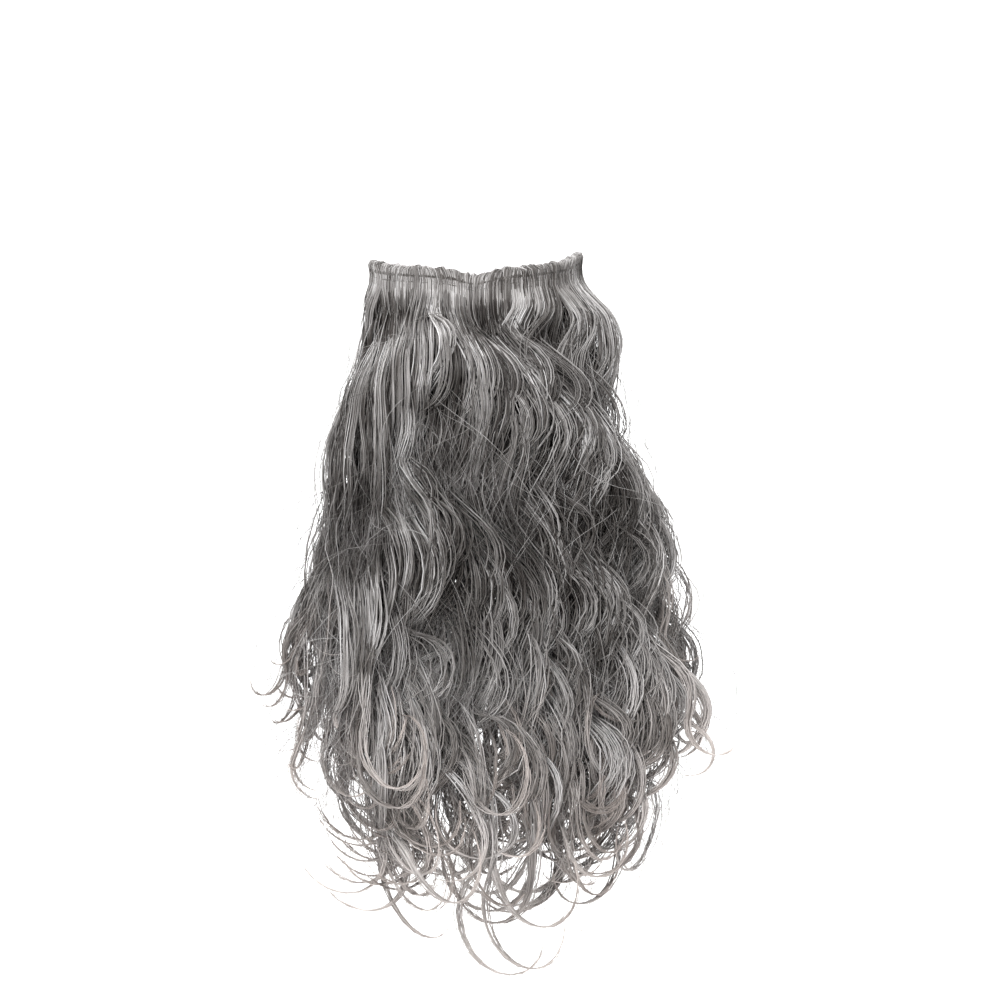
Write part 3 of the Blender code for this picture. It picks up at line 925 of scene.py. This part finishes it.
def sew_stitches():
    turn_step = STITCH_PITCH / HEAD_HALF_DEPTH
    last = HEADER_SPAN - NO_STITCH_NEAR_ENDS
    middles = np.arange(-last, last, turn_step)
    share = np.linspace(-0.5, 0.5, 7)[None, :]
    turns = middles[:, None] + share * turn_step * STITCH_LENGTH
    lift = STITCH_LIFT - STITCH_SINKS * (2 * share) ** 4 + 0 * turns
    points = band_point(turns, STITCH_ANGLE + 0 * turns, lift)
    girth = STITCH_GIRTH + 0 * turns
    tone = np.clip(chance.normal(0.30, 0.05, len(middles)), 0, 1)
    out = away_from_head(turns)
    piece = strand_piece("stitches", points, out, girth, girth, tone, 0 * turns, hair_fibre, 5)
    belongs(piece, "header")


sew_stitches()

# %% [markdown]
# ## The locks in front and behind
#
# Now the strands are laid, from the back of each lock to its front: dark wisps, middling ones
# and bright ones. Each wisp has a tone of its own and each strand strays from it, so
# neighbouring wisps can be told apart, as on the real hair. That the darkest lie at the back and
# the brightest in front is partly painted shade and painted light. The strands in front begin as
# folds over the header, except for one bright lock that starts halfway down, on top of the
# rest. The back locks start lower down too, under the fall.

# %% Hang the front and back locks
TIP_SIZE = 0.40
ROOT_SIZE = 0.1


def tones(owner, tint, middle, between, within):
    by_wisp = chance.normal(middle, between, owner.max() + 1) + tint
    return np.clip(by_wisp[owner] + chance.normal(0, within, len(owner)), 0.03, 0.88)


def hang_hair(name, wisp, per_wisp, wide, thick, material, tone, folded=False, behind=0.0, **how):
    """The strands of the wisps as one piece. wide and thick are half sizes, and tone says the
    middle tone, how far the wisps' tones differ and how far those of a wisp's strands do."""
    points, out, along, owner = lay_strands(wisp, per_wisp, **how)
    points = points - out * behind
    if folded:
        points, out, along = fold_over_header(points, out, along)
    size = chance.uniform(0.75, 1.25, (len(along), 1))
    size = size * lerp(1.0, TIP_SIZE, smooth((along - 0.84) / 0.16))
    size = size * lerp(1.0 if folded else ROOT_SIZE, 1.0, smooth(along * 9))
    tone = tones(owner, wisp["tint"], *tone)
    piece = strand_piece(name, points, out, thick * size, wide * size, tone, along, material)
    belongs(piece, "hair_fall")


def strands(name, wisp, per_wisp, tone, points, stray, breadth, **how):
    half_width, half_thickness = STRAND_WIDTH / 2, STRAND_THICKNESS / 2
    how.update(points=points, stray=stray, breadth=breadth)
    hang_hair(name, wisp, per_wisp, half_width, half_thickness, strand_fibre, tone, **how)


# Darker strands behind and brighter in front: partly the fibres' own mix, partly painted shade and light.
strands("shaded_back_strands", shaded_back_wisps, 12, (0.27, 0.08, 0.13), 40, 0.0014, 1.5, folded=True, frizz=2.2)
strands("middle_strands", middle_wisps, 10, (0.45, 0.09, 0.11), 42, 0.0012, 1.4, folded=True, frizz=2.2)
strands("lit_front_strands", lit_front_wisps, 15, (0.66, 0.07, 0.09), 45, 0.0010, 1.2, folded=True)
strands("bright_curl", curl_wisps, 14, (0.70, 0.03, 0.10), 45, 0.0008, 0.7)
strands("back_strands", back_wisps, 10, (0.42, 0.12, 0.14), 40, 0.0012, 1.2)

# %% [markdown]
# ## The hair underneath
#
# Between the locks the eye meets more hair, deep in shade. Broader strips of fibre, painted as
# dark as that shade, fill the middle of the fall. They follow the same fall as the locks, each
# with waves of its own, and stop short of the curls, so that the ends stay light and open.

# %% Fill the middle of the fall
def reach_at(across):
    rows = np.array(at_the_header)
    return np.interp(across, rows[:, 0], rows[:, 2])


def scattered_wisps(count, layers, reach, wave, swing, curl=60.0):
    """Wisps that belong to no lock, spread evenly from ear to ear."""
    across = np.linspace(-0.98, 0.98, count) + chance.normal(0, 0.02, count)
    either = np.where(chance.uniform(0, 1, count) < 0.5, -1, 1)
    return {
        "across": across,
        "root": np.full(count, 0.004),
        "reach": reach_at(across) * chance.uniform(*reach, count),
        "wave": chance.uniform(*wave, count),
        "start": chance.uniform(0, 1, count),
        "swing": chance.uniform(*swing, count),
        "curl": either * curl * chance.uniform(0.5, 1.5, count),
        "lean": chance.normal(0, 25, count),
        "layer": chance.uniform(*layers, count),
        "beside": np.zeros(count),
        "tint": np.zeros(count),
        "curl_radius": CURL_RADIUS * chance.uniform(0.5, 1.0, count),
        "depth": WAVE_DEPTH * chance.uniform(0.6, 1.4, count),
        "ripple": chance.uniform(0, 10, count),
        "whim": chance.uniform(0, 1, count),
    }


# Painted shade: a dark filler of low tone, set just behind the locks.
shaded_under_wisps = scattered_wisps(320, (-1.2, 0.1), (0.60, 0.84), (0.2, 0.3), (14, 30))
hang_hair(
    "shaded_under_hair", shaded_under_wisps, 2, 0.0016, 0.0006, tape_fibre, (0.20, 0.05, 0.04),
    behind=0.004, points=27, stray=0.0012, breadth=0.7,
)

# %% [markdown]
# ## Loose hairs
#
# Curling and combing leave single hairs that cross the locks and stand off at the edges, more
# of them the lower one looks. Only a stretch of each shows, since both its ends dive back
# into the locks. So each is made as one short bent fibre that starts and ends in the hair.

# %% Loose hairs over the locks and at the edges
HIGHEST_LOOSE_HAIR = 0.08
LOOSE_DROPS = (0.12, 0.93)
LOOSE_LENGTHS = (0.05, 0.17)
LOOSE_POINTS = 12
BENT_AT_THE_ENDS = 2.4
LOOSE_SLANT = 0.36


def loose_hairs(name, count, level, arch):
    """level is how far outwards from the middle of the fall the hairs end, and arch how far
    they rise between their ends."""
    across = chance.uniform(-1.0, 1.0, count) ** 3 * 0.15 + chance.uniform(-0.78, 0.78, count)
    share = np.linspace(0, 1, LOOSE_POINTS)[None, :]
    lowered = reach_at(across) * lerp(*LOOSE_DROPS, chance.uniform(0, 1, count) ** 0.65)
    first = np.maximum(lowered - 0.10, HIGHEST_LOOSE_HAIR)
    length = chance.uniform(*LOOSE_LENGTHS, count)[:, None]
    bent = lerp(1.0, BENT_AT_THE_ENDS, smooth((first - 0.25) / 0.35))
    slanted = chance.normal(0, LOOSE_SLANT, count)[:, None]
    heading = slanted + (chance.normal(0, 1, count) * bent)[:, None] * (share - 0.5)
    beat = share * chance.uniform(0.5, 1.4, (count, 1)) + chance.uniform(0, 1, (count, 1))
    heading = heading + chance.uniform(0.1, 0.8, (count, 1)) * np.sin(2 * math.pi * beat)
    step = length / (LOOSE_POINTS - 1)
    aside = np.cumsum(np.sin(heading) * step, axis=1)
    drop = first[:, None] + np.cumsum(np.cos(heading) * step, axis=1) / BEARD_LENGTH
    middle, side, out = fall_frame(np.repeat(across[:, None], LOOSE_POINTS, axis=1), drop)
    height = chance.uniform(*level, count)[:, None]
    height = height + chance.uniform(*arch, count)[:, None] * np.sin(math.pi * share)
    aside = aside + chance.normal(0, 0.006, (count, 1))
    place = middle + side * aside[..., None] + out * height[..., None]
    girth = LOOSE_HAIR_RADIUS * chance.uniform(0.8, 1.3, (count, 1))
    girth = girth * lerp(0.35, 1.0, np.sin(math.pi * share))
    tone = np.clip(chance.normal(0.52, 0.18, count), 0.05, 0.9)
    piece = strand_piece(name, place, out, girth, girth, tone, drop, hair_fibre)
    belongs(piece, "hair_fall")


loose_hairs("loose_front", 1700, (0.002, 0.014), (0.002, 0.010))
loose_hairs("loose_back", 500, (-0.014, -0.004), (-0.009, -0.001))

# %% [markdown]
# A few whole hairs stray further. They run from the header to the ends, cross from lock to
# lock and take the hardness off the outline.

# %% Long stray hairs
stray_wisps = scattered_wisps(110, (-1.5, 1.7), (0.6, 1.0), (0.22, 0.45), (12, 34), curl=150.0)
hang_hair(
    "long_strays", stray_wisps, 1, LOOSE_HAIR_RADIUS, LOOSE_HAIR_RADIUS, hair_fibre, (0.58, 0.18, 0.0),
    points=50, stray=0.0030,
)

# %% [markdown]
# ## The elastic
#
# A flat elastic is woven over rubber threads, so it has fine ribs along its length. It runs
# through the whole header and round the back of the head as one loop. It is bent round the
# same loop as the header, with its ribs modelled, because they catch the light.

# %% Weave the elastic
RIBS = 7
RIB_DEPTH = 0.00012
PICK_PITCH = 0.0009
FLATNESS = 0.2
ELASTIC_STEPS = 240
ELASTIC_SIDES = 44
DARK_PICK = (0.050, 0.050, 0.054, 1)
PALE_PICK = (0.150, 0.150, 0.156, 1)


def elastic_bend(share, angle):
    flat_out = np.sign(np.cos(angle)) * np.abs(np.cos(angle)) ** FLATNESS
    flat_up = 2 / math.pi * np.arcsin(np.sin(angle))
    rib = RIB_DEPTH * np.cos(2 * math.pi * RIBS * (flat_up + 1) / 2)
    out = HEADER_THICKNESS / 2 + (ELASTIC_THICKNESS / 2 - rib) * flat_out
    return loop_point(share * math.pi, out, flat_up * ELASTIC_WIDTH / 2)


def elastic_material():
    material, tree, shader = new_material("woven elastic")
    way = put(tree, "ShaderNodeAttribute", attribute_name="way").outputs["Fac"]
    picks = calculate(tree, "SINE", calculate(tree, "MULTIPLY", way, 2 * math.pi / PICK_PITCH))
    shade = ranged(tree, picks, -1.0, 1.0, 0.0, 1.0)
    between = {"Factor": shade, 6: DARK_PICK, 7: PALE_PICK}
    colour = put(tree, "ShaderNodeMix", data_type="RGBA", inputs=between)
    tree.links.new(colour.outputs[2], shader.inputs["Base Color"])
    add_relief(tree, shader, picks, 0.5, 0.0002)
    shader.inputs["Roughness"].default_value = 0.72
    return material


bm = bent_tube(ELASTIC_STEPS, ELASTIC_SIDES, elastic_bend)
bmesh.ops.recalc_face_normals(bm, faces=bm.faces)
elastic = finished("elastic", bm, elastic_material())
give_values(elastic.data, way=corner_turns(elastic.data) * HEAD_HALF_DEPTH)
belongs(elastic, "elastic_strap")

# %% [markdown]
# ## Finish
#
# The last cells set up a plain studio and a camera that looks straight at the beard. The lens is
# long, so the hair in front is drawn hardly larger than the hair behind it.

# %% Studio sheet
SHEET_LENGTH = 9.0
SHEET_HALF_WIDTH = 6
FLOOR_LENGTH = 4.2
BEND_LENGTH = 1.6
BEND_RADIUS = 1.02
FLOOR_START = -3.0
FLOOR_HEIGHT = -0.64


def studio_sheet():
    """A floor that bends up into the backdrop."""
    bm = bmesh.new()
    bmesh.ops.create_grid(bm, x_segments=2, y_segments=48, size=1.0)
    for vertex in bm.verts:
        way = (vertex.co.y + 1) / 2 * SHEET_LENGTH
        bend = min(max((way - FLOOR_LENGTH) / BEND_LENGTH, 0), 1) * math.pi / 2
        forward = min(way, FLOOR_LENGTH) + BEND_RADIUS * math.sin(bend)
        upward = BEND_RADIUS * (1 - math.cos(bend)) + max(way - FLOOR_LENGTH - BEND_LENGTH, 0)
        side = vertex.co.x * SHEET_HALF_WIDTH
        vertex.co = Vector((side, forward + FLOOR_START, upward + FLOOR_HEIGHT))
    paper, _, shader = new_material("white paper")
    shader.inputs["Base Color"].default_value = (0.93, 0.93, 0.93, 1)
    shader.inputs["Roughness"].default_value = 0.9
    sheet = finished("studio_sheet", bm, paper)


studio_sheet()

# %% Lights
AIM = Vector((0.0175, 0, -0.22))


def soft_light(name, place, size, power):
    lamp = bpy.data.lights.new(name, "AREA")
    lamp.shape = "SQUARE"
    lamp.size = size
    lamp.energy = power
    light = bpy.data.objects.new(name, lamp)
    light.location = place
    light.rotation_euler = (AIM - Vector(place)).to_track_quat("-Z", "Y").to_euler()
    bpy.context.scene.collection.objects.link(light)


soft_light("key light", (-0.6, -1.6, 1.2), 0.6, 50)
soft_light("fill light", (1.3, -1.5, 0.9), 0.8, 15)
soft_light("backdrop light", (0, 0.9, 2.6), 2.5, 150)
world = bpy.data.worlds.new("studio air")
world.use_nodes = True
air = world.node_tree.nodes["Background"]
air.inputs["Color"].default_value = (1, 1, 1, 1)
air.inputs["Strength"].default_value = 0.32
bpy.context.scene.world = world
bpy.context.scene.view_settings.view_transform = "Standard"
print(len(bpy.data.lights), "lights")

# %% Camera
LENS_LENGTH = 102.857
CAMERA_PLACE = (0.0175, -2.0, -0.155)
lens = bpy.data.cameras.new("camera")
lens.lens = LENS_LENGTH
lens.sensor_width = 36
camera = bpy.data.objects.new("camera", lens)
camera.location = CAMERA_PLACE
camera.rotation_euler = (math.pi / 2, 0, 0)
bpy.context.scene.collection.objects.link(camera)
bpy.context.scene.camera = camera
